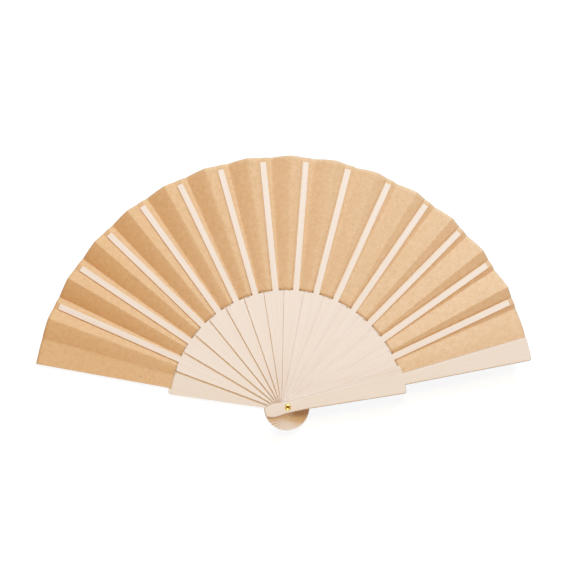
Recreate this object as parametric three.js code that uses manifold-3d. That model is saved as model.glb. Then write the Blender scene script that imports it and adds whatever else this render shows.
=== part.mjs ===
// A folding hand fan, lying open with its ribs upwards. Fourteen wooden ribs and two wooden guards turn on one
// brass rivet, and a pleated leaf of thin cork sheet is glued under the ribs' strips. Millimetres, +Z up.
// The origin is on the rivet's axis, in the plane that the fan lies on, and the fan opens about +Y.

import * as THREE from 'three';
import { mergeVertices } from 'three/addons/utils/BufferGeometryUtils.js';
import Module from 'manifold-3d';

const wasm = await Module();
wasm.setup();

// How far the fan is open: the angle from rib to rib, and from each guard to the rib beside it
const RIB_COUNT = 14;
const RIB_PITCH_DEG = 10.1;
const REAR_GUARD_PITCH_DEG = 10.7;
const FRONT_GUARD_PITCH_DEG = 11.6;

// Lengths along a stick, from the rivet's axis
const TAIL_LENGTH = 19.7;
const SHOULDER_RADIUS = 98;
const LEAF_OUTER_RADIUS = 212.5;
const STRIP_SETBACK = 4;
const GUARD_SETBACK = 1.5;

// Blade: the thin flat lower half of every stick, from the tail to the shoulder
const STICK_THICKNESS = 1;
const TAIL_END_HALF = 3.6;
const TAIL_WIDEST_DISTANCE = 12.5;
const TAIL_HALF = 5.7;
const HEAD_HALF = 4.9;
const NECK_DISTANCE = 16;
const RIB_NECK_HALF = 5.2;
const RIB_SHOULDER_HALF = 10;
const RIB_SHOULDER_CORNER = 1.6;
const GUARD_NECK_HALF = 5.4;
const GUARD_SHOULDER_RADIUS = 100.5;
const GUARD_SHOULDER_HALF = 12.2;
const GUARD_SHOULDER_CORNER = 2.5;

// Strip: the narrow upper half of a rib, which carries the leaf
const STRIP_WIDTH = 5;

// Bar: the thick outer face of a guard, from its tail to its square tip
const GUARD_THICKNESS = 3;
const BAR_MIDDLE_DISTANCE = 62;
const BAR_MIDDLE_HALF = 6.2;
const BAR_SHOULDER_HALF = 5;
const BAR_TIP_HALF = 10.2;
const BAR_TIP_CORNER = 2;
const GUARD_EDGE_ROUNDING = 1.2;
const ROUNDING_STEPS = 3;
const RECESS_MARGIN = 1;

// Leaf: one thin sheet, creased twice at each rib
const LEAF_THICKNESS = 0.25;
const LEAF_ROOM = 0.15;
const LEAF_SHOULDER_GAP = 0.2;
const CREASE_MARGIN = 0.9;
const RIDGE_ANGLE_DEG = 3.4;
const RIDGE_SLOPE = 0.55;
const VALLEY_SLOPE = 0.65;
const REAR_OVERHANG = 2;
const FRONT_TUCK = 0.6;
const LEAF_STATIONS = 4;
const PANEL_STEPS = 2;

// Clearances
const GLUE_GAP = 0.05;
const FOLD_GAP = 0.1;
const RUNNING_GAP = 0.15;
const PIN_CLEARANCE = 0.1;

// Rivet
const PIN_RADIUS = 1.4;
const RIVET_HEAD_RADIUS = 2.6;
const RIVET_HEAD_HEIGHT = 0.9;
const RIVET_FOOT_RADIUS = 2.6;
const RIVET_FOOT_THICKNESS = 0.6;
const ROUND_SEGMENTS = 24;
const OUTLINE_SEGMENTS = 6;
const ROUNDED_SEGMENTS = 4;
const DOME_STEPS = 5;
const WELD_DISTANCE = 1e-5;

// Worked out from the sizes above
const STRIP_HALF = STRIP_WIDTH / 2;
const STRIP_END = LEAF_OUTER_RADIUS - STRIP_SETBACK;
const GUARD_TIP = LEAF_OUTER_RADIUS - GUARD_SETBACK;
const LEAF_INNER_RADIUS = SHOULDER_RADIUS + LEAF_SHOULDER_GAP;
const STRIP_RECESS = LEAF_THICKNESS + GLUE_GAP + LEAF_ROOM;
const LEAF_TOP = STRIP_RECESS - GLUE_GAP;
const STACK_PITCH = STICK_THICKNESS + RUNNING_GAP;
const FIRST_RIB_LEVEL = GUARD_THICKNESS + RUNNING_GAP;
const FRONT_GUARD_LEVEL = FIRST_RIB_LEVEL + RIB_COUNT * STACK_PITCH;
const STACK_TOP = FRONT_GUARD_LEVEL + GUARD_THICKNESS;
const HOLE_RADIUS = PIN_RADIUS + PIN_CLEARANCE;

const RIB_PITCH = THREE.MathUtils.degToRad(RIB_PITCH_DEG);
const REAR_GUARD_PITCH = THREE.MathUtils.degToRad(REAR_GUARD_PITCH_DEG);
const FRONT_GUARD_PITCH = THREE.MathUtils.degToRad(FRONT_GUARD_PITCH_DEG);
const OPEN_ANGLE = REAR_GUARD_PITCH + (RIB_COUNT - 1) * RIB_PITCH + FRONT_GUARD_PITCH;
const REAR_GUARD_ANGLE = Math.PI / 2 + OPEN_ANGLE / 2;
const FRONT_GUARD_ANGLE = Math.PI / 2 - OPEN_ANGLE / 2;

// The creases point at the rivet. A valley runs just clear of its strip where the leaf begins
const VALLEY_ANGLE = Math.asin((STRIP_HALF + CREASE_MARGIN) / LEAF_INNER_RADIUS);
const RIDGE_ANGLE = THREE.MathUtils.degToRad(RIDGE_ANGLE_DEG);

const wood = new THREE.MeshStandardMaterial({ color: 0xeedfcd, roughness: 0.7, metalness: 0 });
const cork = new THREE.MeshStandardMaterial({ color: 0xd9b07c, roughness: 0.9, metalness: 0 });
const brass = new THREE.MeshStandardMaterial({ color: 0xc9a04a, roughness: 0.3, metalness: 1 });

const fan = new THREE.Group();

// The angle of a rib about the rivet, where rib 1 is beside the rear guard
function ribAngle(index) {
  return REAR_GUARD_ANGLE - REAR_GUARD_PITCH - (index - 1) * RIB_PITCH;
}

// The height of a rib's underside in the stack
function ribLevel(index) {
  return FIRST_RIB_LEVEL + (index - 1) * STACK_PITCH;
}

// A closed mesh as a solid that can be joined and cut
function toSolid(geometry) {
  const bare = geometry.index ? geometry.toNonIndexed() : geometry.clone();
  bare.deleteAttribute('normal');
  bare.deleteAttribute('uv');
  const merged = mergeVertices(bare, WELD_DISTANCE);
  const vertProperties = new Float32Array(merged.attributes.position.array);
  const triVerts = new Uint32Array(merged.index.array);
  return new wasm.Manifold(new wasm.Mesh({ numProp: 3, vertProperties, triVerts }));
}

// A solid back as a mesh
function toGeometry(solid) {
  const mesh = solid.getMesh();
  const positions = new Float32Array(mesh.numVert * 3);
  for (let v = 0; v < mesh.numVert; v++) {
    for (let axis = 0; axis < 3; axis++) {
      positions[3 * v + axis] = mesh.vertProperties[mesh.numProp * v + axis];
    }
  }
  const geometry = new THREE.BufferGeometry();
  geometry.setAttribute('position', new THREE.BufferAttribute(positions, 3));
  geometry.setIndex(new THREE.BufferAttribute(new Uint32Array(mesh.triVerts), 1));
  const flat = geometry.toNonIndexed();
  flat.computeVertexNormals();
  return flat;
}

// A round bar along the rivet's axis, from one height to another
function roundBar(radius, bottom, top) {
  const bar = new THREE.CylinderGeometry(radius, radius, top - bottom, ROUND_SEGMENTS);
  bar.rotateX(Math.PI / 2);
  bar.translate(0, 0, (bottom + top) / 2);
  return bar;
}

// One side of a stick's rounded tail, head and neck, from the middle of the tail's end outwards
function headSide(neckHalf) {
  const endAngle = Math.asin(TAIL_END_HALF / TAIL_LENGTH);
  return [
    new THREE.Vector2(-TAIL_LENGTH * Math.cos(endAngle), TAIL_END_HALF),
    new THREE.Vector2(-TAIL_WIDEST_DISTANCE, TAIL_HALF),
    new THREE.Vector2(0, HEAD_HALF),
    new THREE.Vector2(NECK_DISTANCE, neckHalf),
  ];
}

// Mirrors points across the stick's axis, in the opposite order
function mirrored(points) {
  return points.map((p) => new THREE.Vector2(p.x, -p.y)).reverse();
}

// A stick's outline: rounded tail and head, straight sides through the given points, and an end that is an
// arc about the rivet with rounded corners
function stickOutline(neckHalf, sidePoints, endRadius, endHalf, corner) {
  const head = headSide(neckHalf);
  const endAngle = Math.asin(endHalf / endRadius);
  const cornerPoint = new THREE.Vector2(endRadius * Math.cos(endAngle), endHalf);
  const last = sidePoints.length ? sidePoints[sidePoints.length - 1] : head[head.length - 1];
  const towards = last.clone().sub(cornerPoint).normalize();
  const beforeCorner = cornerPoint.clone().addScaledVector(towards, corner);
  const arcAngle = endAngle - corner / endRadius;
  const shape = new THREE.Shape();
  shape.moveTo(head[0].x, head[0].y);
  shape.splineThru(head.slice(1));
  for (const p of sidePoints) shape.lineTo(p.x, p.y);
  shape.lineTo(beforeCorner.x, beforeCorner.y);
  const arcStart = new THREE.Vector2(endRadius * Math.cos(arcAngle), endRadius * Math.sin(arcAngle));
  shape.quadraticCurveTo(cornerPoint.x, cornerPoint.y, arcStart.x, arcStart.y);
  shape.absarc(0, 0, endRadius, arcAngle, -arcAngle, true);
  shape.quadraticCurveTo(cornerPoint.x, -cornerPoint.y, beforeCorner.x, -beforeCorner.y);
  for (const p of mirrored(sidePoints)) shape.lineTo(p.x, p.y);
  shape.lineTo(NECK_DISTANCE, -neckHalf);
  shape.splineThru(mirrored(head).slice(1));
  const tailAngle = Math.asin(TAIL_END_HALF / TAIL_LENGTH);
  shape.absarc(0, 0, TAIL_LENGTH, Math.PI + tailAngle, Math.PI - tailAngle, true);
  return shape;
}

// The outline of a stick's blade, from its tail to its shoulder
function ribBladeOutline() {
  return stickOutline(RIB_NECK_HALF, [], SHOULDER_RADIUS, RIB_SHOULDER_HALF, RIB_SHOULDER_CORNER);
}

// The same for a guard, whose blade is wider and hides the edge of the leaf
function guardBladeOutline() {
  return stickOutline(GUARD_NECK_HALF, [], GUARD_SHOULDER_RADIUS, GUARD_SHOULDER_HALF, GUARD_SHOULDER_CORNER);
}

// A thin flat blade, with its underside at height 0
function bladeSolid(outline) {
  const options = { depth: STICK_THICKNESS, bevelEnabled: false, curveSegments: OUTLINE_SEGMENTS };
  return toSolid(new THREE.ExtrudeGeometry(outline, options));
}

// The thick wood of a guard, with its underside at height 0 and the edges of its upper face rounded
function roundedSolid(outline) {
  const thick = new THREE.ExtrudeGeometry(outline, {
    depth: GUARD_THICKNESS - GUARD_EDGE_ROUNDING,
    bevelEnabled: true,
    bevelThickness: GUARD_EDGE_ROUNDING,
    bevelSize: GUARD_EDGE_ROUNDING,
    bevelOffset: -GUARD_EDGE_ROUNDING,
    bevelSegments: ROUNDING_STEPS,
    curveSegments: ROUNDED_SEGMENTS,
  });
  return toSolid(thick).trimByPlane([0, 0, 1], 0);
}

// A rib: the blade, and the narrow strip that goes on from its shoulder, flush with its upper face
function ribGeometry() {
  const stripRoot = SHOULDER_RADIUS - RIB_SHOULDER_HALF;
  const stripThickness = STICK_THICKNESS - STRIP_RECESS;
  const strip = new THREE.BoxGeometry(STRIP_END - stripRoot, STRIP_WIDTH, stripThickness);
  strip.translate((STRIP_END + stripRoot) / 2, 0, STICK_THICKNESS - stripThickness / 2);
  const hole = toSolid(roundBar(HOLE_RADIUS, -STICK_THICKNESS, 2 * STICK_THICKNESS));
  return toGeometry(bladeSolid(ribBladeOutline()).add(toSolid(strip)).subtract(hole));
}

// Half the width of a guard's bar at a distance from the rivet, where the leaf is
function barHalf(distance) {
  const share = (distance - SHOULDER_RADIUS) / (GUARD_TIP - SHOULDER_RADIUS);
  return BAR_SHOULDER_HALF + share * (BAR_TIP_HALF - BAR_SHOULDER_HALF);
}

// A guard with its outer face upwards: the bar, the thick half of the blade on the outer side, the thin half on
// the side of the ribs, and a recess under the upper half, where the leaf is glued
function guardGeometry() {
  const sides = [
    new THREE.Vector2(BAR_MIDDLE_DISTANCE, BAR_MIDDLE_HALF),
    new THREE.Vector2(SHOULDER_RADIUS, BAR_SHOULDER_HALF),
  ];
  const bar = roundedSolid(stickOutline(GUARD_NECK_HALF, sides, GUARD_TIP, BAR_TIP_HALF, BAR_TIP_CORNER));
  const outerHalf = roundedSolid(guardBladeOutline()).trimByPlane([0, -1, 0], 0);
  const recessStart = SHOULDER_RADIUS - RECESS_MARGIN;
  const recess = new THREE.BoxGeometry(GUARD_TIP, 2 * GUARD_TIP, 2 * STRIP_RECESS);
  recess.translate(recessStart + GUARD_TIP / 2, 0, 0);
  const hole = toSolid(roundBar(HOLE_RADIUS, -GUARD_THICKNESS, 2 * GUARD_THICKNESS));
  const wood = bladeSolid(guardBladeOutline()).add(outerHalf).add(bar);
  return toGeometry(wood.subtract(toSolid(recess)).subtract(hole));
}

// The rear guard is the same piece turned over, with a counterbore for the rivet's foot
function rearGuardGeometry() {
  const guard = guardGeometry();
  guard.rotateX(Math.PI);
  guard.translate(0, 0, GUARD_THICKNESS);
  const ceiling = RIVET_FOOT_THICKNESS + GLUE_GAP;
  const counterbore = toSolid(roundBar(RIVET_FOOT_RADIUS + PIN_CLEARANCE, -GUARD_THICKNESS, ceiling));
  return toGeometry(toSolid(guard).subtract(counterbore));
}

// The rivet: a flat foot, the pin, and a low domed head
function rivetGeometry() {
  const headBottom = STACK_TOP + GLUE_GAP;
  const profile = [
    new THREE.Vector2(0, 0),
    new THREE.Vector2(RIVET_FOOT_RADIUS, 0),
    new THREE.Vector2(RIVET_FOOT_RADIUS, RIVET_FOOT_THICKNESS),
    new THREE.Vector2(PIN_RADIUS, RIVET_FOOT_THICKNESS),
    new THREE.Vector2(PIN_RADIUS, headBottom),
  ];
  for (let step = 0; step <= DOME_STEPS; step++) {
    const angle = (step / DOME_STEPS) * (Math.PI / 2);
    const radius = step === DOME_STEPS ? 0 : RIVET_HEAD_RADIUS * Math.cos(angle);
    profile.push(new THREE.Vector2(radius, headBottom + RIVET_HEAD_HEIGHT * Math.sin(angle)));
  }
  const rivet = new THREE.LatheGeometry(profile, ROUND_SEGMENTS);
  rivet.rotateX(Math.PI / 2);
  return toGeometry(toSolid(rivet));
}

// A point of the leaf at a distance from the rivet, on a line at an angle, moved sideways from that line
function creasePoint(distance, angle, sideways, height) {
  return new THREE.Vector3(
    distance * Math.cos(angle) - sideways * Math.sin(angle),
    distance * Math.sin(angle) + sideways * Math.cos(angle),
    height,
  );
}

// A point of the leaf at a distance from the rivet and an offset across a stick, turned by an angle
function offsetPoint(distance, offset, turn, height) {
  return creasePoint(distance, turn + Math.asin(offset / distance), 0, height);
}

// How high a ridge crease stands over the flat part under the strip
function ridgeRise(distance) {
  return RIDGE_SLOPE * (distance * Math.sin(RIDGE_ANGLE) - STRIP_HALF);
}

// How low a valley crease lies under that flat part
function valleyDrop(distance) {
  return VALLEY_SLOPE * (distance * Math.sin(VALLEY_ANGLE) - STRIP_HALF);
}

// Points across the leaf in straight stretches between the given ones
function acrossLeaf(corners) {
  const row = [corners[0]];
  for (let c = 1; c < corners.length; c++) {
    for (let step = 1; step <= PANEL_STEPS; step++) {
      row.push(corners[c - 1].clone().lerp(corners[c], step / PANEL_STEPS));
    }
  }
  return row;
}

// How far from the rivet a point of the leaf is, at a share of the way from its inner to its outer edge
function leafDistance(share) {
  return THREE.MathUtils.lerp(LEAF_INNER_RADIUS, LEAF_OUTER_RADIUS, share);
}

// The same on the front guard, where the leaf ends level with the guard's tip
function guardedDistance(share) {
  return THREE.MathUtils.lerp(LEAF_INNER_RADIUS, GUARD_TIP, share);
}

// A stretch of leaf as a closed solid: cornersAt gives its upper face's corners at a share of the way outwards
function leafGeometry(cornersAt) {
  const rows = [];
  for (let station = 0; station < LEAF_STATIONS; station++) {
    rows.push(acrossLeaf(cornersAt(station / (LEAF_STATIONS - 1))));
  }
  const width = rows[0].length;
  const positions = [];
  for (const lift of [0, -LEAF_THICKNESS]) {
    for (const row of rows) {
      for (const p of row) positions.push(p.x, p.y, p.z + lift);
    }
  }
  const under = rows.length * width;
  const index = [];
  const quad = (a, b, c, d) => index.push(a, b, c, a, c, d);
  for (let r = 0; r + 1 < rows.length; r++) {
    for (let c = 0; c + 1 < width; c++) {
      const a = r * width + c;
      quad(a, a + 1, a + width + 1, a + width);
      quad(under + a, under + a + width, under + a + width + 1, under + a + 1);
    }
    const left = r * width;
    const right = left + width - 1;
    quad(left, left + width, under + left + width, under + left);
    quad(right + width, right, under + right, under + right + width);
  }
  const outer = (rows.length - 1) * width;
  for (let c = 0; c + 1 < width; c++) {
    quad(c + 1, c, under + c, under + c + 1);
    quad(outer + c, outer + c + 1, under + outer + c + 1, under + outer + c);
  }
  const geometry = new THREE.BufferGeometry();
  geometry.setAttribute('position', new THREE.Float32BufferAttribute(positions, 3));
  geometry.setIndex(index);
  const flat = geometry.toNonIndexed();
  flat.computeVertexNormals();
  return flat;
}

// A rib's share of the leaf, in the rib's own frame: from its ridge, flat under its strip, down to its valley,
// and up again to the next rib's ridge, or level with the leaf on the front guard
function pleatGeometry(isLast) {
  return leafGeometry((share) => {
    const distance = leafDistance(share);
    const guarded = guardedDistance(share);
    const ridgeTop = LEAF_TOP + ridgeRise(distance);
    const corners = [
      creasePoint(distance, RIDGE_ANGLE, -FOLD_GAP / 2, ridgeTop),
      offsetPoint(distance, STRIP_HALF, 0, LEAF_TOP),
      offsetPoint(distance, -STRIP_HALF, 0, LEAF_TOP),
      creasePoint(distance, -VALLEY_ANGLE, 0, LEAF_TOP - valleyDrop(distance)),
    ];
    const next = isLast
      ? offsetPoint(guarded, barHalf(guarded) - FRONT_TUCK, -FRONT_GUARD_PITCH, STACK_PITCH + LEAF_TOP)
      : creasePoint(distance, RIDGE_ANGLE - RIB_PITCH, FOLD_GAP / 2, STACK_PITCH + ridgeTop);
    corners.push(next);
    return corners;
  });
}

// The leaf's rear end, in the rear guard's frame: glued on the guard's bar and past its outer edge, and folded
// up at its inner edge to the first rib's ridge
function rearEndGeometry() {
  const onBar = GUARD_THICKNESS - STRIP_RECESS + GLUE_GAP + LEAF_THICKNESS;
  return leafGeometry((share) => {
    const distance = leafDistance(share);
    const ridgeTop = FIRST_RIB_LEVEL + LEAF_TOP + ridgeRise(distance);
    return [
      offsetPoint(distance, barHalf(distance) + REAR_OVERHANG, 0, onBar),
      offsetPoint(distance, -barHalf(distance), 0, onBar),
      creasePoint(distance, RIDGE_ANGLE - REAR_GUARD_PITCH, FOLD_GAP / 2, ridgeTop),
    ];
  });
}

// The leaf's front end, in the front guard's frame: glued flat under the guard's bar, inside its edges
function frontEndGeometry() {
  return leafGeometry((share) => {
    const distance = guardedDistance(share);
    return [
      offsetPoint(distance, barHalf(distance) - FRONT_TUCK - FOLD_GAP, 0, LEAF_TOP),
      offsetPoint(distance, FRONT_TUCK - barHalf(distance), 0, LEAF_TOP),
    ];
  });
}

// Puts a piece in the fan, turned about the rivet and lifted to its level
function place(name, geometry, material, angle, level) {
  const mesh = new THREE.Mesh(geometry, material);
  mesh.name = name;
  mesh.rotation.z = angle;
  mesh.position.z = level;
  fan.add(mesh);
}

place('rear_guard', rearGuardGeometry(), wood, REAR_GUARD_ANGLE, 0);
place('rivet', rivetGeometry(), brass, 0, 0);
place('leaf_rear_end', rearEndGeometry(), cork, REAR_GUARD_ANGLE, 0);

const rib = ribGeometry();
const pleat = pleatGeometry(false);
for (let index = 1; index <= RIB_COUNT; index++) {
  const number = String(index).padStart(2, '0');
  const leaf = index === RIB_COUNT ? pleatGeometry(true) : pleat;
  place(`rib_${number}`, rib, wood, ribAngle(index), ribLevel(index));
  place(`leaf_pleat_${number}`, leaf, cork, ribAngle(index), ribLevel(index));
}

place('front_guard', guardGeometry(), wood, FRONT_GUARD_ANGLE, FRONT_GUARD_LEVEL);
place('leaf_front_end', frontEndGeometry(), cork, FRONT_GUARD_ANGLE, FRONT_GUARD_LEVEL);

export default fan;
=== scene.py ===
"""A folding hand fan with a cork leaf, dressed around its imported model.

Blender 4.5, metres, +Z up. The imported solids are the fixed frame. The wooden sticks keep their solids and
get their finish here. The leaf is made again from its creases as thin sheet with soft folds, and the rivet
is turned with a finer profile.
"""

import logging
import math
from dataclasses import dataclass, field
from enum import Enum
from typing import Any

import bpy
from bpy.types import ID, Material, Mesh, Node, NodeSocket, NodeTree, Object
from mathutils import Matrix, Vector


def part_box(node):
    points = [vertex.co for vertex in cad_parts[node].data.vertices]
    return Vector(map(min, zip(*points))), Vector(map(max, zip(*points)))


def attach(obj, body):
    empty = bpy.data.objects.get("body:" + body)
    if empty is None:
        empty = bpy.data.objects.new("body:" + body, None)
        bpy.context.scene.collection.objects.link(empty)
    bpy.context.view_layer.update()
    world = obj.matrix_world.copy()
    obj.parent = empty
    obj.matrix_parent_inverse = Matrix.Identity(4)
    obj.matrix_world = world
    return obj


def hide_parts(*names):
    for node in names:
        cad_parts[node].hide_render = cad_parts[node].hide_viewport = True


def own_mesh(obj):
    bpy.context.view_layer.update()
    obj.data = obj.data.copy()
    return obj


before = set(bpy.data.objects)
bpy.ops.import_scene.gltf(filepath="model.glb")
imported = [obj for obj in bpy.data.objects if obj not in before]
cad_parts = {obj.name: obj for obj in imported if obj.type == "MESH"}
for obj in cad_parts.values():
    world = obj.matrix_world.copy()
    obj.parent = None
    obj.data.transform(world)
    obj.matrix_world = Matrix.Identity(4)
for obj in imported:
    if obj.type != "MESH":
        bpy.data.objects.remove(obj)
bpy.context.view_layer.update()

LOG = logging.getLogger("hand_fan")
MM = 0.001
MATH = "ShaderNodeMath"
MAP_RANGE = "ShaderNodeMapRange"
NOISE = "ShaderNodeTexNoise"

# The Mix node's colour sockets share their names with its other kinds, so they go by number.
MIX_UNDER = 6
MIX_OVER = 7
MIX_COLOUR = 2

# What feeds an input socket: an output socket, or a node, which gives its first output.
Source = Node | NodeSocket
Pair = tuple[float, float]
Triple = tuple[float, float, float]
Colour = tuple[float, float, float, float]


class Slot(Enum):
    """Names for the material slots of the pieces that are made here; nothing in the script uses them."""

    LEAF = "leaf"
    RIVET = "rivet"


class Edge(Enum):
    """What an edge of a panel is, and whether its rounding lowers the sheet, lifts it or is left out."""

    RIDGE = -1.0
    VALLEY = 1.0
    CUT = 0.0


class Side(Enum):
    """The two edges of a leaf panel, seen from the rivet with the ribs upwards."""

    RIGHT = "Right"
    LEFT = "Left"


class Blend(Enum):
    """How a tint joins the colour below it, by Blender's names."""

    COVER = "MIX"
    STAIN = "MULTIPLY"


def linear(colour: str) -> Colour:
    """Turns an sRGB hex colour to linear light.

    Args:
        colour: Six hex digits, such as "f3e1d0".

    Returns:
        Red, green, blue and alpha, each from 0 to 1.
    """
    full_channel = 255
    low_end = 0.04045
    low_slope = 12.92
    offset = 0.055
    power = 2.4
    light = []
    for byte in bytes.fromhex(colour):
        channel = byte / full_channel
        if channel <= low_end:
            light.append(channel / low_slope)
        else:
            light.append(((channel + offset) / (1 + offset)) ** power)
    return (*light, 1.0)


def add_node(tree: NodeTree, kind: str, inputs: dict | None = None, **settings: Any) -> Node:
    """Adds a node to a tree, with its settings and its links.

    Args:
        tree: The tree that gets the node.
        kind: The node's Blender type.
        inputs: What goes into each input socket, by its name or number: an output socket, a node that
            gives its first output, or a value.
        **settings: The node's own properties.

    Returns:
        The new node.
    """
    node = tree.nodes.new(kind)
    for name, value in settings.items():
        setattr(node, name, value)
    for key, value in (inputs or {}).items():
        source = value.outputs[0] if isinstance(value, Node) else value
        if isinstance(source, NodeSocket):
            tree.links.new(source, node.inputs[key])
        else:
            node.inputs[key].default_value = source
    return node


def new_object(name: str, data: ID) -> Object:
    """Makes an object and links it to the scene.

    Args:
        name: The object's name.
        data: Its mesh, lamp or camera.

    Returns:
        The object.
    """
    made = bpy.data.objects.new(name, data)
    bpy.context.scene.collection.objects.link(made)
    return made


def new_material(name: str) -> tuple[Material, NodeTree]:
    """Makes an empty node material.

    Args:
        name: The material's name.

    Returns:
        The material and its node tree.
    """
    material = bpy.data.materials.new(name)
    material.use_nodes = True
    material.node_tree.nodes.clear()
    return material, material.node_tree


def tinted(tree: NodeTree, base: Source | Colour, pattern: Source, limits: Pair, tint: str,
           share: float = 1.0, blend: Blend = Blend.COVER) -> Source:
    """Lays a tint over a colour, where a pattern passes from one limit to the other.

    Args:
        tree: The material's tree.
        base: The colour below, from a node or as a value.
        pattern: The pattern that places the tint.
        limits: The pattern's values where the tint begins and where it is full.
        tint: The tint's hex colour.
        share: How much of the tint shows where it is full.
        blend: How the tint joins the colour.

    Returns:
        The tinted colour.
    """
    begins, is_full = limits
    mask = add_node(tree, MAP_RANGE, {
        "Value": pattern, "From Min": begins, "From Max": is_full, "To Max": share,
    })
    mixed = add_node(tree, "ShaderNodeMix", {
        "Factor": mask, MIX_UNDER: base, MIX_OVER: linear(tint),
    }, data_type="RGBA", blend_type=blend.value)
    return mixed.outputs[MIX_COLOUR]


@dataclass(frozen=True)
class MattFinish:
    """What the bare wood and the cork share: a dull surface, whose fine relief breaks up the light."""

    relief: float
    relief_strength: float
    roughness: float
    ior: float
    gloss: float

    def surface(self, tree: NodeTree, colour: Source, height: Source) -> None:
        """Ends a material with its shader.

        Args:
            tree: The material's tree.
            colour: The finished colour.
            height: The pattern that the relief follows.
        """
        bump = add_node(tree, "ShaderNodeBump", {
            "Height": height, "Distance": self.relief, "Strength": self.relief_strength,
        })
        shader = add_node(tree, "ShaderNodeBsdfPrincipled", {
            "Base Color": colour,
            "Roughness": self.roughness,
            "IOR": self.ior,
            "Specular IOR Level": self.gloss,
            "Normal": bump,
        })
        add_node(tree, "ShaderNodeOutputMaterial", {"Surface": shader})


@dataclass(frozen=True)
class SandedBirch(MattFinish):
    """Bare birch, planed and sanded: pale and nearly matt, with faint streaks along the stick.

    Faces that tilt away from level are tinted browner: partly the end grain that a cut edge shows, partly
    painted shade on the sides and rounded edges. Real birch fibres are a few hundredths of a millimetre
    wide, too fine to show, so the fibres and pores are drawn about ten times as wide. Each mark's size is
    its length and its width.
    """

    pale: str = "f5e6d7"
    streak: str = "efdcc8"
    pore: str = "d9b893"
    # End grain brown, which also serves as painted shade on sides and rounded edges.
    end_grain_and_shade: str = "d0b69f"
    streak_size: Pair = (70 * MM, 1.6 * MM)
    fibre_size: Pair = (14 * MM, 0.35 * MM)
    pore_size: Pair = (5 * MM, 0.3 * MM)
    streak_limits: Pair = (0.42, 0.66)
    fibre_limits: Pair = (0.4, 0.7)
    pore_limits: Pair = (0.66, 0.74)
    end_grain_and_shade_limits: Pair = (0.97, 0.5)
    streak_share: float = 0.5
    fibre_share: float = 0.25
    pore_share: float = 0.35
    grain_detail: float = 3.0
    relief: float = 0.02 * MM
    relief_strength: float = 0.35
    roughness: float = 0.62
    ior: float = 1.5
    gloss: float = 0.2

    def along_grain(self, tree: NodeTree, along: Source, size: Pair) -> Source:
        """Adds noise drawn out along the grain.

        Args:
            tree: The material's tree.
            along: Coordinates with the grain along X.
            size: The length and the width of a mark.

        Returns:
            The noise, about 0.5 on average.
        """
        length, width = size
        drawn = add_node(tree, "ShaderNodeMapping", {
            "Vector": along, "Scale": (1 / length, 1 / width, 1 / width),
        })
        return add_node(tree, NOISE, {"Vector": drawn, "Scale": 1.0, "Detail": self.grain_detail})

    def material(self, name: str, turn: float, shift: float) -> Material:
        """Makes the wood of one stick.

        Args:
            name: The material's name.
            turn: The stick's angle about the rivet, which the grain follows.
            shift: How far the pattern is moved, so that no two sticks are alike.

        Returns:
            The material.
        """
        material, tree = new_material(name)
        along = add_node(tree, "ShaderNodeMapping", {
            "Vector": add_node(tree, "ShaderNodeTexCoord").outputs["Object"],
            "Rotation": (0, 0, -turn),
            "Location": (shift, shift, shift),
        })
        streaks = self.along_grain(tree, along, self.streak_size)
        fibres = self.along_grain(tree, along, self.fibre_size)
        pores = self.along_grain(tree, along, self.pore_size)
        facing = add_node(tree, "ShaderNodeNewGeometry").outputs["Normal"]
        normal = add_node(tree, "ShaderNodeSeparateXYZ", {0: facing}).outputs["Z"]
        level = add_node(tree, MATH, {0: normal}, operation="ABSOLUTE")
        bare = linear(self.pale)
        colour = tinted(tree, bare, streaks, self.streak_limits, self.streak, self.streak_share)
        colour = tinted(tree, colour, fibres, self.fibre_limits, self.streak, self.fibre_share)
        colour = tinted(tree, colour, pores, self.pore_limits, self.pore, self.pore_share)
        # Partly painted shade: faces that tilt from level turn browner, for end grain and for shade on
        # sides and rounded edges.
        colour = tinted(tree, colour, level, self.end_grain_and_shade_limits, self.end_grain_and_shade)
        self.surface(tree, colour, fibres)
        return material


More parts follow.
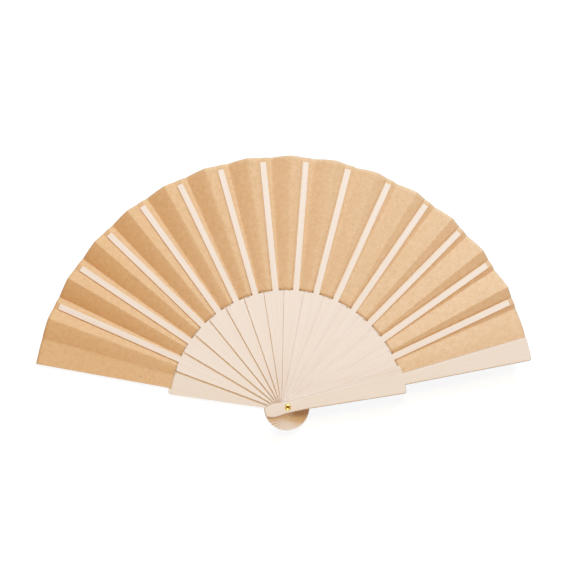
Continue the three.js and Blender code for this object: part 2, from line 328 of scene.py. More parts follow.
@dataclass(frozen=True)
class CorkSheet(MattFinish):
    """Thin sheet of fine pressed cork: tan and matt, with close granules, pale flecks and bark specks.

    Its tone shifts along X, darker and yellower towards its left end: painted shade for light that falls
    unevenly across the sheet. Its granules are under half a millimetre, too fine to show, so they are drawn
    at twice that. The reach of a fleck or a speck is a share of the spacing: where it begins, and where it
    is full.
    """

    tan: str = "e7c297"
    pale: str = "edcaa3"
    brown: str = "d2a87a"
    fleck: str = "f6dfae"
    bark: str = "9c6d3f"
    # Painted shade: the tone that the sheet is stained towards at its left end, and where that begins and
    # is full.
    painted_shade_tone: str = "faf1e1"
    painted_shade_span: Pair = (60 * MM, -150 * MM)
    blotch: float = 4 * MM
    blotch_limits: Pair = (0.35, 0.65)
    blotch_detail: float = 4.0
    granule: float = 0.9 * MM
    granule_limits: Pair = (0.0, 1.0)
    granule_share: float = 0.28
    fleck_spacing: float = 2.6 * MM
    fleck_reach: Pair = (0.2, 0.1)
    fleck_share: float = 0.4
    speck_spacing: float = 3.2 * MM
    speck_reach: Pair = (0.16, 0.08)
    speck_share: float = 0.38
    relief: float = 0.06 * MM
    relief_strength: float = 0.5
    roughness: float = 0.6
    ior: float = 1.45
    gloss: float = 0.15

    def material(self, name: str) -> Material:
        """Makes the cork.

        Args:
            name: The material's name.

        Returns:
            The material.
        """
        material, tree = new_material(name)
        place = add_node(tree, "ShaderNodeTexCoord").outputs["Object"]
        side = add_node(tree, "ShaderNodeSeparateXYZ", {0: place}).outputs["X"]
        blotches = add_node(tree, NOISE, {
            "Vector": place, "Scale": 1 / self.blotch, "Detail": self.blotch_detail,
        })
        granules, flecks, specks = [
            add_node(tree, "ShaderNodeTexVoronoi", {"Vector": place, "Scale": 1 / spacing})
            for spacing in (self.granule, self.fleck_spacing, self.speck_spacing)
        ]
        tone = add_node(tree, "ShaderNodeSeparateColor", {0: granules.outputs["Color"]})
        colour = tinted(tree, linear(self.tan), blotches, self.blotch_limits, self.pale)
        colour = tinted(tree, colour, tone, self.granule_limits, self.brown, self.granule_share)
        colour = tinted(tree, colour, flecks, self.fleck_reach, self.fleck, self.fleck_share)
        colour = tinted(tree, colour, specks, self.speck_reach, self.bark, self.speck_share)
        # Painted shade: darker and yellower towards the left end.
        colour = tinted(tree, colour, side, self.painted_shade_span, self.painted_shade_tone, blend=Blend.STAIN)
        self.surface(tree, colour, granules)
        return material


@dataclass(frozen=True)
class TurnedBrass:
    """Plain brass, turned and tumbled: yellow and shiny, with painted shade in the head's dish."""

    bright: str = "d9b25a"
    # Painted shade: the dark brown laid in the dish, and how far its edge fades.
    painted_dish_shade: str = "7c5428"
    dish_shade_fade: float = 0.4 * MM
    roughness: float = 0.28

    def material(self, name: str, dish_radius: float) -> Material:
        """Makes the brass.

        Args:
            name: The material's name.
            dish_radius: How far the dish and its painted shade reach from the rivet's axis.

        Returns:
            The material.
        """
        material, tree = new_material(name)
        place = add_node(tree, "ShaderNodeTexCoord").outputs["Object"]
        flat = add_node(tree, "ShaderNodeVectorMath", {0: place, 1: (1, 1, 0)}, operation="MULTIPLY")
        away = add_node(tree, "ShaderNodeVectorMath", {0: flat}, operation="LENGTH").outputs["Value"]
        # Painted shade: the dish is tinted dark brown inside its rim.
        limits = (dish_radius, dish_radius - self.dish_shade_fade)
        shader = add_node(tree, "ShaderNodeBsdfPrincipled", {
            "Base Color": tinted(tree, linear(self.bright), away, limits, self.painted_dish_shade),
            "Metallic": 1.0,
            "Roughness": self.roughness,
        })
        add_node(tree, "ShaderNodeOutputMaterial", {"Surface": shader})
        return material


@dataclass(frozen=True)
class FanSizes:
    """The open fan's layout, which the leaf and the grain of the sticks follow."""

    rib_count: int = 14
    rib_pitch: float = math.radians(10.1)
    rear_pitch: float = math.radians(10.7)
    front_pitch: float = math.radians(11.6)
    shoulder_radius: float = 98 * MM
    guard_tip: float = 211 * MM
    bar_shoulder_half: float = 5 * MM
    bar_tip_half: float = 10.2 * MM
    bar_underside: float = 0.45 * MM
    leaf_inner: float = 98.2 * MM
    leaf_outer: float = 212.5 * MM
    strip_half: float = 2.5 * MM
    crease_margin: float = 0.9 * MM
    leaf_top: float = 0.4 * MM
    leaf_thickness: float = 0.25 * MM
    glue: float = 0.05 * MM
    ridge_angle: float = math.radians(3.4)
    ridge_slope: float = 0.55
    valley_slope: float = 0.65
    rear_overhang: float = 2 * MM
    front_tuck: float = 0.6 * MM

    @property
    def rear_angle(self) -> float:
        """The rear guard's angle about the rivet."""
        opened = self.rear_pitch + (self.rib_count - 1) * self.rib_pitch + self.front_pitch
        return (math.pi + opened) / 2

    @property
    def front_angle(self) -> float:
        """The front guard's angle about the rivet."""
        return math.pi - self.rear_angle

    @property
    def valley_angle(self) -> float:
        """How far clockwise of its rib a valley crease runs."""
        return math.asin((self.strip_half + self.crease_margin) / self.leaf_inner)

    @property
    def radii(self) -> Pair:
        """Where the leaf begins and ends."""
        return (self.leaf_inner, self.leaf_outer)

    @property
    def guarded_radii(self) -> Pair:
        """The same on the front guard, where the leaf ends level with the guard's tip."""
        return (self.leaf_inner, self.guard_tip)

    def rib_angle(self, index: int) -> float:
        """The angle of a rib about the rivet, where rib 1 is beside the rear guard."""
        return self.rear_angle - self.rear_pitch - (index - 1) * self.rib_pitch

    def bar_half(self, distance: float) -> float:
        """Half the width of a guard's bar at a distance from the rivet."""
        share = (distance - self.shoulder_radius) / (self.guard_tip - self.shoulder_radius)
        return self.bar_shoulder_half + share * (self.bar_tip_half - self.bar_shoulder_half)

    def ridge_height(self, distance: float) -> float:
        """How high a ridge stands over its rib's underside."""
        sideways = distance * math.sin(self.ridge_angle)
        return self.leaf_top + self.ridge_slope * (sideways - self.strip_half)

    def valley_height(self, distance: float) -> float:
        """How high a valley stands over its rib's underside."""
        sideways = distance * math.sin(self.valley_angle)
        return self.leaf_top - self.valley_slope * (sideways - self.strip_half)


@dataclass(frozen=True)
class Crease:
    """A straight edge of a leaf panel, seen from the stick that carries the panel.

    Each pair is given where the leaf begins and where it ends. A radius is the distance from the rivet, an
    offset is across the stick and positive anticlockwise, and a height is over the stick's underside.
    """

    radii: Pair
    offset: Pair
    height: Pair
    edge: Edge = Edge.CUT
    softness: float = 0.0

    def point(self, end: int, turn: float, level: float) -> Vector:
        """Finds where the crease begins or ends in the fan.

        Args:
            end: 0 where it begins, or 1 where it ends.
            turn: The stick's angle about the rivet.
            level: The height of the stick's underside.

        Returns:
            The point.
        """
        radius = self.radii[end]
        angle = turn + math.asin(self.offset[end] / radius)
        return Vector((radius * math.cos(angle), radius * math.sin(angle), level + self.height[end]))


@dataclass(frozen=True)
class Panel:
    """A stretch of leaf between two creases, on the stick that carries it.

    Its turn is the stick's angle about the rivet, and its level is the height of the stick's underside. It
    is called glued where it lies under a rib's strip, which presses a groove into it.
    """

    name: str
    body: str
    node: str
    rests_on: str
    turn: float
    level: float
    right: Crease
    left: Crease
    glued: bool = False
    bow: float = 0.0
    wave: float = 0.0
    seed: float = 0.0
    fold_joint: str | None = None


@dataclass
class PanelRule:
    """The Geometry Nodes rule that every panel of the leaf follows.

    A grid is laid between two creases, along the stick and across it. Its lines crowd together towards the
    creases. Under a strip it is flat and bends away softly on both sides, with the narrow groove that the
    strip presses into it beside the ridge. Elsewhere it runs from crease to crease. Each crease is rounded,
    and gentle waves lie on what is free of the strip.
    """

    inputs: dict[str, float | int | bool]
    material: Material
    crowding: float = 0.75
    wave_detail: float = 1.0
    wave_limits: Pair = (0.3, 0.7)
    tree: NodeTree = field(init=False)
    given: Any = field(init=False)

    def __post_init__(self) -> None:
        """Makes the empty tree, with a named input for each size."""
        kinds = {bool: "NodeSocketBool", int: "NodeSocketInt", float: "NodeSocketFloat"}
        self.tree = bpy.data.node_groups.new("leaf_panel", "GeometryNodeTree")
        self.tree.interface.new_socket("Geometry", in_out="OUTPUT", socket_type="NodeSocketGeometry")
        for name, value in self.inputs.items():
            self.tree.interface.new_socket(name, in_out="INPUT", socket_type=kinds[type(value)])
        self.given = add_node(self.tree, "NodeGroupInput").outputs

    def crease(self, side: Side, along: Source) -> dict[str, Source]:
        """Follows one of the two creases along the stick.

        Args:
            side: Which crease.
            along: How far along the stick a point lies, from 0 to 1.

        Returns:
            The crease's radius, offset, height and angle beside that point.
        """
        found: dict[str, Source] = {}
        for measure in ("radius", "offset", "height"):
            found[measure] = add_node(self.tree, MAP_RANGE, {
                "Value": along,
                "To Min": self.given[f"{side.value} {measure} inner"],
                "To Max": self.given[f"{side.value} {measure} outer"],
            })
        sine = add_node(self.tree, MATH, {0: found["offset"], 1: found["radius"]}, operation="DIVIDE")
        found["angle"] = add_node(self.tree, MATH, {0: sine}, operation="ARCSINE")
        return found

    def glued_rise(self, sideways: Source) -> Source:
        """Shapes a panel that is glued under a strip.

        Args:
            sideways: How far across the stick a point lies.

        Returns:
            The point's height.
        """
        tree = self.tree
        given = self.given
        rise = given["Leaf top"]
        for direction, slope in ((1.0, "Ridge slope"), (-1.0, "Valley slope")):
            outward = add_node(tree, MATH, {0: sideways, 1: direction}, operation="MULTIPLY")
            past = add_node(tree, MATH, {0: outward, 1: given["Strip half"]}, operation="SUBTRACT")
            beyond = add_node(tree, MATH, {0: past, 1: 0.0, 2: given["Crisp"]}, operation="SMOOTH_MAX")
            signed = add_node(tree, MATH, {0: beyond, 1: direction}, operation="MULTIPLY")
            rise = add_node(tree, MATH, {0: signed, 1: given[slope], 2: rise}, operation="MULTIPLY_ADD")
        past = add_node(tree, MATH, {0: sideways, 1: given["Strip half"]}, operation="SUBTRACT")
        from_middle = add_node(tree, MATH, {0: past, 1: given["Groove reach"]}, operation="SUBTRACT")
        slant = add_node(tree, MATH, {0: from_middle}, operation="ABSOLUTE")
        groove = add_node(tree, MAP_RANGE, {
            "Value": slant,
            "From Max": given["Groove reach"],
            "To Min": given["Groove depth"],
            "To Max": 0.0,
        })
        return add_node(tree, MATH, {0: rise, 1: groove}, operation="SUBTRACT")

    def loose_rise(self, across: Source, straight: Source, spread: Source, distance: Source) -> Source:
        """Shapes a panel that hangs between its creases, bowed a little over the straight line.

        Args:
            across: How far from the right crease to the left one a point lies, from 0 to 1.
            straight: The height of the straight line there.
            spread: The angle between the creases.
            distance: How far from the rivet the point lies.

        Returns:
            The point's height.
        """
        tree = self.tree
        rest = add_node(tree, MATH, {0: 1.0, 1: across}, operation="SUBTRACT")
        hump = add_node(tree, MATH, {0: across, 1: rest}, operation="MULTIPLY")
        width = add_node(tree, MATH, {0: spread, 1: distance}, operation="MULTIPLY")
        bow = add_node(tree, MATH, {0: width, 1: self.given["Bow"]}, operation="MULTIPLY")
        return add_node(tree, MATH, {0: hump, 1: bow, 2: straight}, operation="MULTIPLY_ADD")

    def rounded(self, rise: Source, side: Side, apart: Source, distance: Source) -> Source:
        """Rounds a panel beside one of its creases.

        Args:
            rise: A point's height so far.
            side: Which crease.
            apart: The angle from the crease to the point.
            distance: How far from the rivet the point lies.

        Returns:
            The height, eased into the crease.
        """
        tree = self.tree
        softness = self.given[f"{side.value} softness"]
        fold = self.given[f"{side.value} fold"]
        signed = add_node(tree, MATH, {0: apart, 1: distance}, operation="MULTIPLY")
        away = add_node(tree, MATH, {0: signed}, operation="ABSOLUTE")
        square = add_node(tree, MATH, {0: softness, 1: softness}, operation="MULTIPLY")
        total = add_node(tree, MATH, {0: away, 1: away, 2: square}, operation="MULTIPLY_ADD")
        bend = add_node(tree, MATH, {0: total}, operation="SQRT")
        rounding = add_node(tree, MATH, {0: bend, 1: away}, operation="SUBTRACT")
        return add_node(tree, MATH, {0: rounding, 1: fold, 2: rise}, operation="MULTIPLY_ADD")

    def waved(self, rise: Source, even: Source, sideways: Source, distance: Source) -> Source:
        """Lays gentle waves over a panel, which die away at its creases and its strip.

        Args:
            rise: A point's height so far.
            even: How far across the grid the point lies, from 0 to 1.
            sideways: How far across the stick it lies.
            distance: How far from the rivet it lies.

        Returns:
            The height with its share of the waves.
        """
        tree = self.tree
        given = self.given
        lowest, highest = self.wave_limits
        spot = add_node(tree, "ShaderNodeCombineXYZ", {"X": distance, "Y": sideways, "Z": given["Seed"]})
        pace = add_node(tree, MATH, {0: 1.0, 1: given["Wave length"]}, operation="DIVIDE")
        noise = add_node(tree, NOISE, {"Vector": spot, "Scale": pace, "Detail": self.wave_detail})
        swing = add_node(tree, MAP_RANGE, {
            "Value": noise, "From Min": lowest, "From Max": highest, "To Min": -1.0, "To Max": 1.0,
        }, clamp=False)
        rest = add_node(tree, MATH, {0: 1.0, 1: even}, operation="SUBTRACT")
        middle = add_node(tree, MATH, {0: even, 1: rest}, operation="MULTIPLY")
        beside = add_node(tree, MATH, {0: sideways}, operation="ABSOLUTE")
        clear = add_node(tree, MATH, {0: beside, 1: given["Strip half"]}, operation="SUBTRACT")
        free = add_node(tree, MAP_RANGE, {
            "Value": clear, "From Max": given["Wave start"],
        }, interpolation_type="SMOOTHSTEP")
        reach = add_node(tree, MATH, {0: middle, 1: free}, operation="MULTIPLY")
        scaled = add_node(tree, MATH, {0: swing, 1: given["Wave height"]}, operation="MULTIPLY")
        return add_node(tree, MATH, {0: scaled, 1: reach, 2: rise}, operation="MULTIPLY_ADD")

    def build(self) -> NodeTree:
        """Links the rule, from the plain grid to the finished panel.

        Returns:
            The node tree.
        """
        tree = self.tree
        given = self.given
        grid = add_node(tree, "GeometryNodeMeshGrid", {
            "Size X": 1.0, "Size Y": 1.0, "Vertices X": given["Rows"], "Vertices Y": given["Columns"],
        })
        from_centre = add_node(tree, "GeometryNodeInputPosition")
        from_corner = add_node(tree, "ShaderNodeVectorMath", {
            0: from_centre, 1: (1 / 2, 1 / 2, 0),
        }, operation="ADD")
        shares = add_node(tree, "ShaderNodeSeparateXYZ", {0: from_corner}).outputs
        even = shares["Y"]
        eased = add_node(tree, MAP_RANGE, {"Value": even}, interpolation_type="SMOOTHSTEP")
        across = add_node(tree, "ShaderNodeMix", {"Factor": self.crowding, "A": even, "B": eased})
        right = self.crease(Side.RIGHT, shares["X"])
        left = self.crease(Side.LEFT, shares["X"])
        distance, turned, straight = [
            add_node(tree, MAP_RANGE, {"Value": across, "To Min": right[measure], "To Max": left[measure]})
            for measure in ("radius", "angle", "height")
        ]
        sine = add_node(tree, MATH, {0: turned}, operation="SINE")
        sideways = add_node(tree, MATH, {0: sine, 1: distance}, operation="MULTIPLY")
        spread = add_node(tree, MATH, {0: left["angle"], 1: right["angle"]}, operation="SUBTRACT")
        rise = add_node(tree, "GeometryNodeSwitch", {
            "Switch": given["Glued"],
            "False": self.loose_rise(across, straight, spread, distance),
            "True": self.glued_rise(sideways),
        }, input_type="FLOAT")
        for side, crease in ((Side.RIGHT, right), (Side.LEFT, left)):
            apart = add_node(tree, MATH, {0: turned, 1: crease["angle"]}, operation="SUBTRACT")
            rise = self.rounded(rise, side, apart, distance)
        rise = self.waved(rise, even, sideways, distance)
        angle = add_node(tree, MATH, {0: turned, 1: given["Turn"]}, operation="ADD")
        place = {"Z": add_node(tree, MATH, {0: rise, 1: given["Level"]}, operation="ADD")}
        for axis, operation in (("X", "COSINE"), ("Y", "SINE")):
            share = add_node(tree, MATH, {0: angle}, operation=operation)
            place[axis] = add_node(tree, MATH, {0: share, 1: distance}, operation="MULTIPLY")
        moved = add_node(tree, "ShaderNodeCombineXYZ", place)
        laid = add_node(tree, "GeometryNodeSetPosition", {"Geometry": grid, "Position": moved})
        smooth = add_node(tree, "GeometryNodeSetShadeSmooth", {"Geometry": laid})
        real = add_node(tree, "GeometryNodeRealizeInstances", {"Geometry": smooth})
        dressed = add_node(tree, "GeometryNodeSetMaterial", {"Geometry": real, "Material": self.material})
        add_node(tree, "NodeGroupOutput", {0: dressed})
        return tree


@dataclass
class PleatedLeaf:
    """The leaf: one thin sheet, glued under every strip and creased on both sides of it.

    A softness is about how far the rounding of a crease reaches. A bow lifts the middle of a hanging panel
    by a quarter of that share of its width. The last two sizes, the shares of a panel's height and width
    that are left when the fan is shut, are not used.
    """

    sizes: FanSizes
    finish: CorkSheet
    rows: int = 40
    columns: int = 28
    glued_columns: int = 64
    fold_steepness: float = 0.5
    crisp: float = 0.3 * MM
    soft_valley: float = 0.8 * MM
    bar_softness: float = 1.0 * MM
    bar_bow: float = 0.1
    groove_reach: float = 0.8 * MM
    groove_depth: float = 0.65 * MM
    soft_ridge: float = 1.1 * MM
    soft_reach: float = math.radians(22)
    bow: float = 0.14
    wave_height: float = 0.35 * MM
    wave_length: float = 26 * MM
    wave_start: float = 3 * MM
    flattened: float = 0.1
    folded_away: float = 0.05
    tree: NodeTree = field(init=False)

    def __post_init__(self) -> None:
        """Makes the material and the rule that every panel follows."""
        flat = Crease((0.0, 0.0), (0.0, 0.0), (0.0, 0.0))
        sample = Panel("", "", "", "", 0.0, 0.0, flat, flat)
        self.tree = PanelRule(self.panel_inputs(sample), self.finish.material("pressed_cork_sheet")).build()

    def panel_inputs(self, panel: Panel) -> dict[str, float | int | bool]:
        """The named inputs of the panel rule, with one panel's values.

        Args:
            panel: The panel.

        Returns:
            Each input's name and value.
        """
        inputs: dict[str, float | int | bool] = {
            "Rows": self.rows,
            "Columns": self.glued_columns if panel.glued else self.columns,
            "Glued": panel.glued,
            "Turn": panel.turn,
            "Level": panel.level,
            "Leaf top": self.sizes.leaf_top,
            "Ridge slope": self.sizes.ridge_slope,
            "Valley slope": self.sizes.valley_slope,
            "Strip half": self.sizes.strip_half,
            "Crisp": self.crisp,
            "Groove reach": self.groove_reach,
            "Groove depth": self.groove_depth,
            "Bow": panel.bow,
            "Wave height": panel.wave,
            "Wave length": self.wave_length,
            "Wave start": self.wave_start,
            "Seed": panel.seed,
        }
        for side, crease in ((Side.RIGHT.value, panel.right), (Side.LEFT.value, panel.left)):
            inputs[f"{side} radius inner"], inputs[f"{side} radius outer"] = crease.radii
            inputs[f"{side} offset inner"], inputs[f"{side} offset outer"] = crease.offset
            inputs[f"{side} height inner"], inputs[f"{side} height outer"] = crease.height
            inputs[f"{side} fold"] = crease.edge.value * self.fold_steepness
            inputs[f"{side} softness"] = max(crease.softness, self.crisp)
        return inputs

    def make(self, panel: Panel) -> Object:
        """Makes a panel as a plain mesh and gives it the sheet's thickness.

        Args:
            panel: The panel.

        Returns:
            The panel's object.
        """
        maker = new_object("panel_maker", bpy.data.meshes.new("panel_maker"))
        rule = maker.modifiers.new("leaf_panel", "NODES")
        rule.node_group = self.tree
        given = self.panel_inputs(panel)
        for socket in self.tree.interface.items_tree:
            if socket.in_out == "INPUT":
                rule[socket.identifier] = given[socket.name]
        evaluated = maker.evaluated_get(bpy.context.evaluated_depsgraph_get())
        mesh = bpy.data.meshes.new_from_object(evaluated)
        mesh.name = panel.name
        bpy.data.objects.remove(maker)
        sheet = new_object(panel.name, mesh)
        wall = sheet.modifiers.new("sheet_thickness", "SOLIDIFY")
        wall.thickness = self.sizes.leaf_thickness
        wall.offset = -1.0
        return sheet

    def add(self, panel: Panel) -> None:
        """Makes a panel and ties it to its stick; a panel with a fold joint gets its own copy of its mesh.

        Args:
            panel: The panel.
        """
        sheet = self.make(panel)
        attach(sheet, panel.body)
        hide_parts(panel.node)
        if panel.fold_joint is not None:
            self.fold(sheet, panel)
        for end in (0, 1):
            left = panel.left.point(end, panel.turn, panel.level)
            right = panel.right.point(end, panel.turn, panel.level)

    def fold(self, sheet: Object, panel: Panel) -> None:
        """Gives a panel its own copy of its mesh.

        For a loose panel it also finds where its left crease begins, the crease's direction and the panel's
        width, which nothing uses.

        Args:
            sheet: The panel's object.
            panel: The panel.
        """
        if panel.glued:
            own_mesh(sheet)
            return
        begins = panel.left.point(0, panel.turn, panel.level)
        crease = (panel.left.point(1, panel.turn, panel.level) - begins).normalized()
        width = panel.right.point(1, panel.turn, panel.level) - begins
        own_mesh(sheet)

    def line(self, angle: float, height: Pair, edge: Edge, softness: float = 0.0) -> Crease:
        """A crease that points at the rivet, at an angle from the stick."""
        radii = self.sizes.radii
        return Crease(radii, tuple(radius * math.sin(angle) for radius in radii), height, edge, softness)

    def ridge(self, angle: float, lift: float, softness: float) -> Crease:
        """A ridge, seen from the stick that it is an angle away from."""
        height = tuple(lift + self.sizes.ridge_height(radius) for radius in self.sizes.radii)
        return self.line(angle, height, Edge.RIDGE, softness)

    def ridge_softness(self, index: int) -> float:
        """How round the ridge beside a rib is: the folds at the top of the open fan are the softest."""
        away = (self.sizes.rib_angle(index) + self.sizes.ridge_angle - math.pi / 2) / self.soft_reach
        return self.crisp + self.soft_ridge * math.exp(-away * away)

    def rear_panels(self) -> list[Panel]:
        """Lists the rear guard's two panels: one on its bar, and one that rises to the first ridge.

        Returns:
            The panels.
        """
        sizes = self.sizes
        radii = sizes.radii
        on_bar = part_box("rear_guard")[1].z + sizes.glue - sizes.bar_underside + sizes.leaf_thickness
        lifted = on_bar + self.fold_steepness * self.bar_softness
        overhang = tuple(sizes.bar_half(radius) + sizes.rear_overhang for radius in radii)
        bar_edge = tuple(-sizes.bar_half(radius) for radius in radii)
        bar_left = Crease(radii, overhang, (on_bar, on_bar))
        bar_right = Crease(radii, bar_edge, (on_bar, on_bar), Edge.VALLEY, self.bar_softness)
        off_bar = Crease(radii, bar_edge, (lifted, lifted))
        first_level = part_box("rib_01")[0].z
        first_ridge = self.ridge(sizes.ridge_angle - sizes.rear_pitch, first_level, self.ridge_softness(1))
        return [
            Panel("leaf_on_rear_guard", "rear_guard", "leaf_rear_end", "rear_guard", sizes.rear_angle, 0.0,
                  bar_right, bar_left),
            Panel("leaf_first_panel", "rear_guard", "leaf_rear_end", "rear_guard", sizes.rear_angle, 0.0,
                  first_ridge, off_bar, bow=self.bar_bow, wave=self.wave_height, fold_joint="rib_01_hinge"),
        ]

    def next_ridge(self, index: int, level: float) -> Crease:
        """The crease that a rib's loose panel rises to: the next rib's ridge, or the front guard's edge.

        Args:
            index: The rib's number.
            level: The height of the rib's underside.

        Returns:
            The crease, seen from the rib.
        """
        sizes = self.sizes
        if index < sizes.rib_count:
            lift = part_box(f"rib_{index + 1:02d}")[0].z - level
            return self.ridge(sizes.ridge_angle - sizes.rib_pitch, lift, self.ridge_softness(index + 1))
        radii = sizes.guarded_radii
        under_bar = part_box("front_guard")[0].z - level + sizes.leaf_top
        tucked = [math.asin((sizes.bar_half(r) - sizes.front_tuck) / r) - sizes.front_pitch for r in radii]
        offsets = tuple(radius * math.sin(angle) for radius, angle in zip(radii, tucked))
        return Crease(radii, offsets, (under_bar, under_bar), Edge.RIDGE)

    def rib_panels(self, index: int) -> list[Panel]:
        """Lists the two panels of a rib: one glued under its strip, and a loose one on its right.

        Args:
            index: The rib's number.

        Returns:
            The panels.
        """
        sizes = self.sizes
        rib = f"rib_{index:02d}"
        node = f"leaf_pleat_{index:02d}"
        joint = f"{rib}_hinge"
        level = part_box(rib)[0].z
        turn = sizes.rib_angle(index)
        valley_height = tuple(sizes.valley_height(radius) for radius in sizes.radii)
        valley = self.line(-sizes.valley_angle, valley_height, Edge.VALLEY, self.soft_valley)
        own_ridge = self.ridge(sizes.ridge_angle, 0.0, self.ridge_softness(index))
        next_ridge = self.next_ridge(index, level)
        return [
            Panel(f"leaf_glued_{index:02d}", rib, node, rib, turn, level, valley, own_ridge,
                  glued=True, wave=self.wave_height, seed=index, fold_joint=joint),
            Panel(f"leaf_loose_{index:02d}", rib, node, rib, turn, level, next_ridge, valley,
                  bow=self.bow, wave=self.wave_height, seed=-index, fold_joint=joint),
        ]

    def front_panel(self) -> Panel:
        """Makes the last panel, glued flat under the front guard's bar.

        Returns:
            The panel.
        """
        sizes = self.sizes
        radii = sizes.guarded_radii
        height = (sizes.leaf_top, sizes.leaf_top)
        left = Crease(radii, tuple(sizes.bar_half(radius) - sizes.front_tuck for radius in radii), height)
        right = Crease(radii, tuple(sizes.front_tuck - sizes.bar_half(radius) for radius in radii), height)
        return Panel("leaf_under_front_guard", "front_guard", "leaf_front_end", "front_guard",
                     sizes.front_angle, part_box("front_guard")[0].z, right, left)

    def build(self) -> None:
        """Makes every panel, from the rear guard to the front guard."""
        panels = self.rear_panels()
        for index in range(1, self.sizes.rib_count + 1):
            panels += self.rib_panels(index)
        panels.append(self.front_panel())
        for panel in panels:
            self.add(panel)


@dataclass
class Sticks:
    """The fourteen ribs and the two guards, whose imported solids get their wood."""

    sizes: FanSizes
    rib_finish: SandedBirch
    guard_finish: SandedBirch
    shift: float = 37 * MM

    def build(self) -> None:
        """Gives each stick its own wood, with the grain along it."""
        turns = {"rear_guard": self.sizes.rear_angle, "front_guard": self.sizes.front_angle}
        for index in range(1, self.sizes.rib_count + 1):
            turns[f"rib_{index:02d}"] = self.sizes.rib_angle(index)
        for number, (name, turn) in enumerate(turns.items()):
            finish = self.guard_finish if name.endswith("guard") else self.rib_finish
            wood = finish.material(f"sanded_birch_{name}", turn, number * self.shift)
            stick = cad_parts[name]
            stick.data.materials.clear()
            stick.data.materials.append(wood)
            LOG.info("%s dressed", name)


@dataclass
class Rivet:
    """The rivet: a flat foot, a pin, and a low domed head that the setting tool dished."""

    finish: TurnedBrass
    segments: int = 64
    steps: int = 12
    pin_radius: float = 1.4 * MM
    foot_radius: float = 2.6 * MM
    foot_thickness: float = 0.6 * MM
    foot_rim: float = 0.15 * MM
    head_radius: float = 2.6 * MM
    head_height: float = 0.9 * MM
    dish_radius: float = 1.6 * MM
    dish_depth: float = 0.5 * MM
    sharp_from: float = math.radians(40)

    def profile(self) -> list[Pair]:
        """The rivet's outline from the axis at its foot to the axis in the dish.

        Returns:
            Points as distance from the axis and height.
        """
        under_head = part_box("rivet")[1].z - self.head_height
        points = [
            (0.0, 0.0),
            (self.foot_radius - self.foot_rim, 0.0),
            (self.foot_radius, self.foot_rim),
            (self.foot_radius, self.foot_thickness - self.foot_rim),
            (self.foot_radius - self.foot_rim, self.foot_thickness),
            (self.pin_radius, self.foot_thickness),
            (self.pin_radius, under_head),
        ]
        dome = math.acos(self.dish_radius / self.head_radius)
        for step in range(self.steps + 1):
            radius = self.head_radius * math.cos(step / self.steps * dome)
            lift = math.sqrt(max(0.0, 1 - (radius / self.head_radius) ** 2))
            points.append((radius, under_head + self.head_height * lift))
        brim = points[-1][1]
        for step in range(1, self.steps + 1):
            share = step / self.steps
            radius = self.dish_radius * (1 - share)
            points.append((radius, brim - self.dish_depth * math.sin(share * math.pi / 2)))
        return points

    def turned(self) -> Mesh:
        """Turns the outline about the rivet's axis, ring by ring.

        Returns:
            The closed mesh.
        """
        foot, *rings, dish = self.profile()
        count = self.segments
        turns = [2 * math.pi * number / count for number in range(count)]
        points = [(0.0, 0.0, foot[1])]
        for radius, height in rings:
            points += [(radius * math.cos(turn), radius * math.sin(turn), height) for turn in turns]
        points.append((0.0, 0.0, dish[1]))
        last = len(points) - 1
        last_ring = last - 1 - count
        faces = []
        for here in range(1, count + 1):
            beside = here % count + 1
            faces.append((0, beside, here))
            for ring in range(0, last_ring, count):
                above = ring + count
                faces.append((ring + here, ring + beside, above + beside, above + here))
            faces.append((last_ring + here, last_ring + beside, last))
        mesh = bpy.data.meshes.new("turned_rivet")
        mesh.from_pydata(points, [], faces)
        return mesh

    def build(self) -> None:
        """Makes the rivet and puts it in the place of the plain one."""
        mesh = self.turned()
        mesh.shade_smooth()
        mesh.set_sharp_from_angle(angle=self.sharp_from)
        mesh.materials.append(self.finish.material("turned_brass", self.dish_radius))
        rivet = new_object("turned_rivet", mesh)
        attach(rivet, "rear_guard")
        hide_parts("rivet")
        LOG.info("turned_rivet rides on rear_guard")


@dataclass(frozen=True)
class SoftBox:
    """A round lamp that faces the fan.

    Its azimuth is seen from above, anticlockwise from +X, and its elevation is over the floor. Its width
    is its diameter, its power is in watts and its colour is in linear light.
    """

    name: str
    azimuth: float
    elevation: float
    width: float
    power: float
    colour: Triple
    distance: float = 2.0

    def build(self, target: Triple) -> None:
        """Hangs the lamp.

        Args:
            target: The point that it faces.
        """
        lamp = bpy.data.lights.new(self.name, "AREA")
        lamp.shape = "DISK"
        lamp.size = self.width
        lamp.energy = self.power
        lamp.color = self.colour
        box = new_object(self.name, lamp)
        towards = Vector((
            math.cos(self.azimuth) * math.cos(self.elevation),
            math.sin(self.azimuth) * math.cos(self.elevation),
            math.sin(self.elevation),
        ))
        box.rotation_euler = (-towards).to_track_quat("-Z", "Y").to_euler()
        box.location = Vector(target) + towards * self.distance


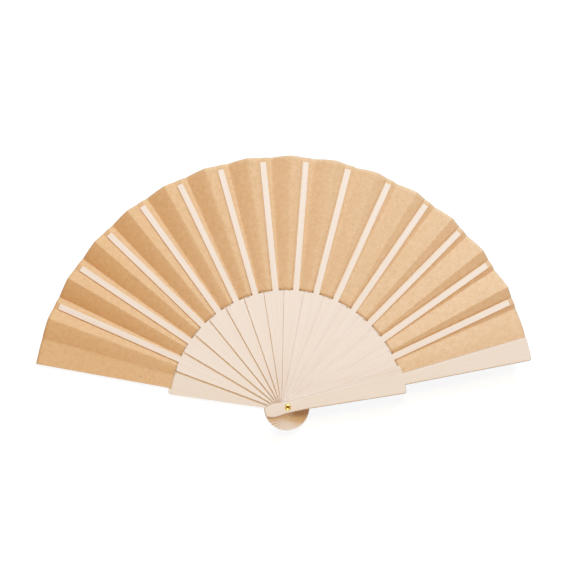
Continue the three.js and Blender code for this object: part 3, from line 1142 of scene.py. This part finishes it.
@dataclass
class Studio:
    """The plain pale floor, the soft light and the camera at the photograph's angle."""

    floor_half: float = 2.0
    floor_white: str = "ebebeb"
    floor_shade: Colour = (0.32, 0.32, 0.32, 1.0)
    floor_glow: Colour = (0.79, 0.835, 0.875, 1.0)
    key: SoftBox = SoftBox("key", azimuth=math.radians(77), elevation=math.radians(43), width=0.9,
                           power=49.8, colour=(0.325, 0.595, 0.9))
    top: SoftBox = SoftBox("top", azimuth=math.radians(90), elevation=math.radians(68), width=0.5,
                           power=12.3, colour=(0.72, 0.61, 0.28))
    fill: SoftBox = SoftBox("fill", azimuth=math.radians(268), elevation=math.radians(15), width=0.9,
                            power=12.0, colour=(0.48, 0.82, 1.0))
    ambient: Colour = (0.475, 0.25, 0.085, 1.0)
    target: Triple = (4.88 * MM, 96.06 * MM, 12 * MM)
    camera_distance: float = 850 * MM
    tilt_side: float = math.radians(4.29)
    tilt_down: float = math.radians(3.94)
    roll: float = math.radians(0.18)
    sensor: float = 36.0
    focal_pixels: float = 1004.7
    image_pixels: float = 585.0

    def seen(self, tree: NodeTree) -> Source:
        """Whether a ray comes straight from the camera, or by gloss or glass.

        Args:
            tree: The tree that asks.

        Returns:
            1 for such a ray and 0 for the light that falls on things.
        """
        path = add_node(tree, "ShaderNodeLightPath").outputs
        seen = path["Is Camera Ray"]
        for kind in ("Is Glossy Ray", "Is Transmission Ray"):
            seen = add_node(tree, MATH, {0: seen, 1: path[kind]}, operation="MAXIMUM")
        return seen

    def light(self) -> None:
        """Sets soft boxes behind the leaf, overhead and low in front, and a warm even ambient light."""
        for lamp in (self.key, self.top, self.fill):
            lamp.build(self.target)
        world = bpy.data.worlds.new("studio")
        bpy.context.scene.world = world
        world.use_nodes = True
        tree = world.node_tree
        tree.nodes.clear()
        dim = add_node(tree, "ShaderNodeBackground", {"Color": self.ambient, "Strength": 1.0})
        white = add_node(tree, "ShaderNodeBackground", {"Color": (1, 1, 1, 1), "Strength": 1.0})
        both = add_node(tree, "ShaderNodeMixShader", {0: self.seen(tree), 1: dim, 2: white})
        add_node(tree, "ShaderNodeOutputWorld", {"Surface": both})

    def floor(self) -> None:
        """Lays the floor, white to the camera, with only a faint shadow."""
        material, tree = new_material("studio_floor")
        matt = add_node(tree, "ShaderNodeBsdfDiffuse", {"Color": linear(self.floor_white)})
        faint = add_node(tree, "ShaderNodeBsdfDiffuse", {"Color": self.floor_shade})
        glow = add_node(tree, "ShaderNodeEmission", {"Color": self.floor_glow, "Strength": 1.0})
        shown = add_node(tree, "ShaderNodeAddShader", {0: faint, 1: glow})
        both = add_node(tree, "ShaderNodeMixShader", {0: self.seen(tree), 1: matt, 2: shown})
        add_node(tree, "ShaderNodeOutputMaterial", {"Surface": both})
        half = self.floor_half
        corners = [(-half, -half, 0), (half, -half, 0), (half, half, 0), (-half, half, 0)]
        mesh = bpy.data.meshes.new("studio_floor")
        mesh.from_pydata(corners, [], [(0, 1, 2, 3)])
        mesh.materials.append(material)
        new_object("studio_floor", mesh)

    def camera(self) -> None:
        """Sets the camera where the photograph was taken from."""
        back = Vector((-math.tan(self.tilt_side), -math.tan(self.tilt_down), 1.0)).normalized()
        up = Vector((math.sin(self.roll), math.cos(self.roll), 0.0))
        side = up.cross(back).normalized()
        top = back.cross(side)
        eye = bpy.data.cameras.new("camera")
        eye.sensor_width = self.sensor
        eye.lens = self.focal_pixels / self.image_pixels * self.sensor
        camera = new_object("camera", eye)
        turned = Matrix((side, top, back)).transposed().to_4x4()
        camera.matrix_world = Matrix.Translation(Vector(self.target) + back * self.camera_distance) @ turned
        bpy.context.scene.camera = camera

    def build(self) -> None:
        """Sets up the floor, the light and the camera."""
        bpy.context.scene.view_settings.view_transform = "Standard"
        self.light()
        self.floor()
        self.camera()


def main() -> None:
    """Builds the scene, one sub-assembly after the other."""
    logging.basicConfig(level=logging.INFO, format="%(name)s: %(message)s")
    sizes = FanSizes()
    Studio().build()
    Sticks(sizes, SandedBirch(), SandedBirch(pale="f1e1d0", streak="ecd9c3")).build()
    Rivet(TurnedBrass()).build()
    PleatedLeaf(sizes, CorkSheet()).build()


if __name__ == "__main__":
    main()
